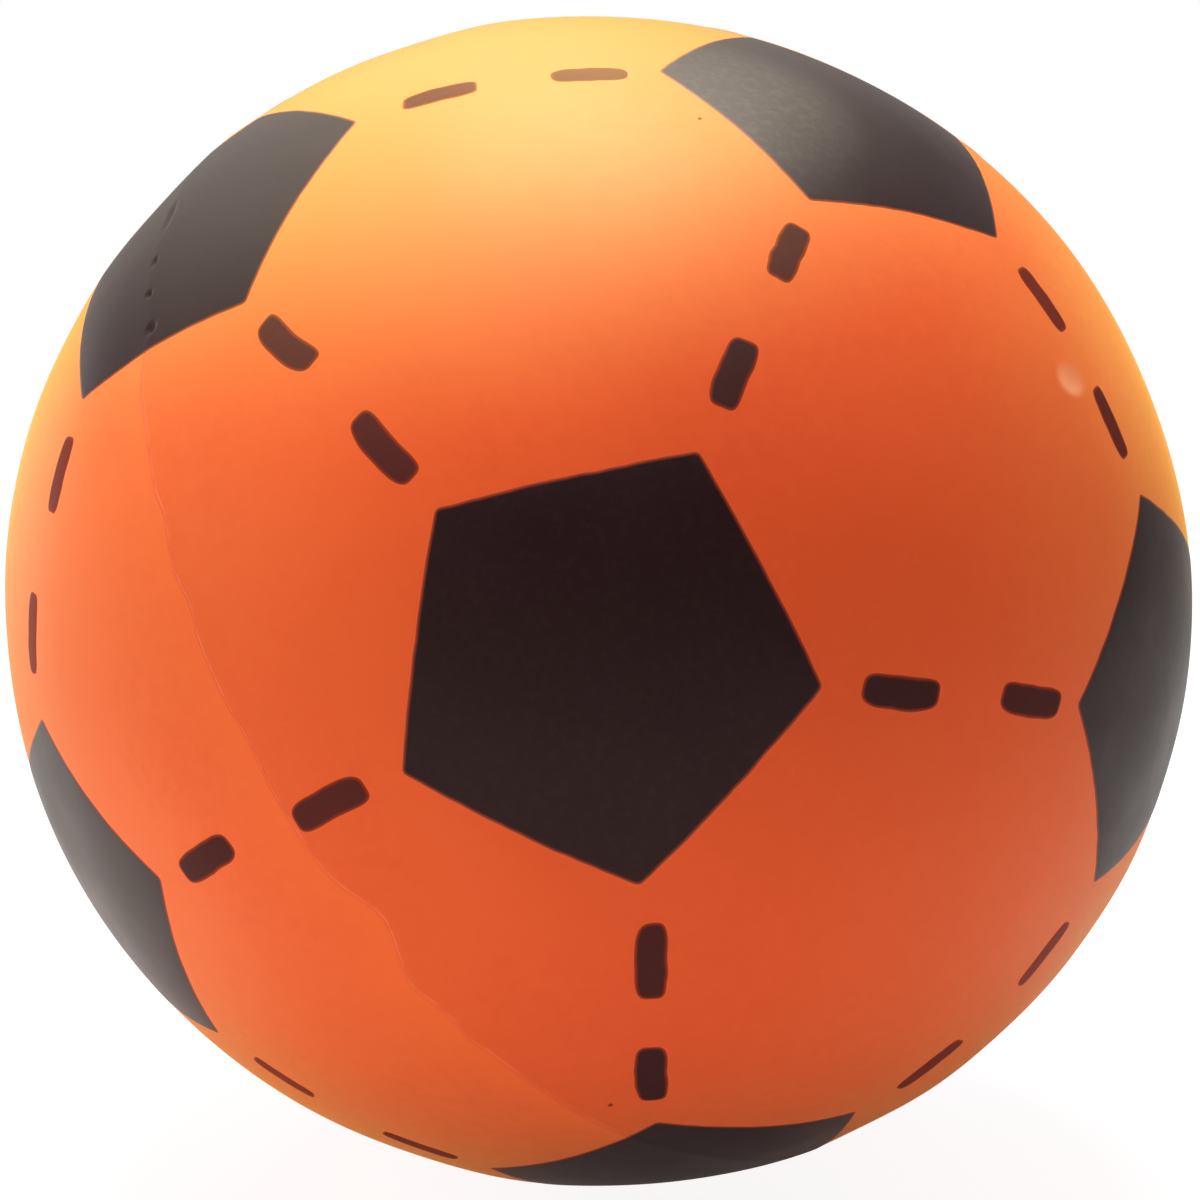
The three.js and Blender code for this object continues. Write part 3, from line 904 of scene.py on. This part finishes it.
floor = floor_body("floor_sweep", floor_finish())

# Studio light
# White surroundings, brightest above and behind, with a large soft box overhead and a weaker one at the left.
# Two more light the top and the left from behind, and the one for the top leaves no glint.

# Surroundings: the way they are brightest, the cosines between which they brighten, and their strengths
ROOM_WAY = (-0.20, 0.36, 0.91)
ROOM_EDGE = (-0.35, 1.0)
ROOM_LEVELS = (0.03, 0.57)
# The same for what gloss sees of a white room
GLOSS_WAY = (-0.36, -0.10, 0.93)
GLOSS_EDGE = (0.45, 0.9)
GLOSS_LEVELS = (0.0, 1.0)
ROOM_WHITE = (1, 1, 1, 1)
# Place and width in metres, power in watts, and whether the lamp leaves a glint
LAMPS = {
    "lamp_overhead": ((-0.03, 0.02, 0.95), 0.6, 13.2, True),
    "lamp_left": ((-0.90, -0.30, 0.18), 0.45, 2.0, True),
    "lamp_over_back": ((-0.26, 0.68, 0.72), 0.45, 1.8, False),
    "lamp_left_back": ((-0.80, 0.60, 0.05), 0.45, 1.1, True),
}

world = bpy.data.worlds.new("white_room")
bpy.context.scene.world = world
world.use_nodes = True
room = world.node_tree
toward = node(room, "ShaderNodeTexCoord").outputs["Generated"]
room_level = ramped(room, along_way(room, toward, ROOM_WAY), *ROOM_EDGE, *ROOM_LEVELS)
gloss_share = ramped(room, along_way(room, toward, GLOSS_WAY), *GLOSS_EDGE, *GLOSS_LEVELS)
dim = node(room, "ShaderNodeBackground", {"Color": ROOM_WHITE, "Strength": room_level}).outputs[0]
white = node(room, "ShaderNodeBackground", {"Color": ROOM_WHITE, "Strength": 1.0}).outputs[0]
white_share = seen_share(room, 1.0, gloss_share, 0.0)
room_light = node(room, "ShaderNodeMixShader", {0: white_share, 1: dim, 2: white}).outputs[0]
room.links.new(room_light, room.nodes["World Output"].inputs["Surface"])

for lamp_name, (spot, size, power, leaves_glint) in LAMPS.items():
    lamp_data = bpy.data.lights.new(lamp_name, "AREA")
    lamp_data.shape = "DISK"
    lamp_data.size = size
    lamp_data.energy = power
    lamp = bpy.data.objects.new(lamp_name, lamp_data)
    lamp.location = spot
    lamp.rotation_euler = (-lamp.location).to_track_quat("-Z", "Y").to_euler()
    lamp.visible_camera = False
    lamp.visible_glossy = leaves_glint
    bpy.context.scene.collection.objects.link(lamp)

# Camera
# It stands close to the ball, a little above level, so the ball nearly fills the square picture.

# Lengths in the picture are in pixels of the photograph
PICTURE_SIDE = 1200
CAMERA_BEARING = math.radians(0.5)
CAMERA_ELEVATION = math.radians(5.2)
CAMERA_DISTANCE = 0.403
FOCAL_PIXELS = 2299
CENTRE_LEFT_PIXELS = 2.0
CENTRE_LOW_PIXELS = 0.8
SENSOR_WIDTH = 36
NEAREST_SEEN = 0.01

camera_data = bpy.data.cameras.new("camera")
camera_data.sensor_width = SENSOR_WIDTH
camera_data.lens = SENSOR_WIDTH * FOCAL_PIXELS / PICTURE_SIDE
camera_data.shift_x = CENTRE_LEFT_PIXELS / PICTURE_SIDE
camera_data.shift_y = CENTRE_LOW_PIXELS / PICTURE_SIDE
camera_data.clip_start = NEAREST_SEEN
camera = bpy.data.objects.new("camera", camera_data)
camera.location = heading(CAMERA_BEARING, CAMERA_ELEVATION) * CAMERA_DISTANCE
camera.rotation_euler = (-camera.location).to_track_quat("-Z", "Y").to_euler()
bpy.context.scene.collection.objects.link(camera)
bpy.context.scene.camera = camera
bpy.context.scene.view_settings.view_transform = "Standard"
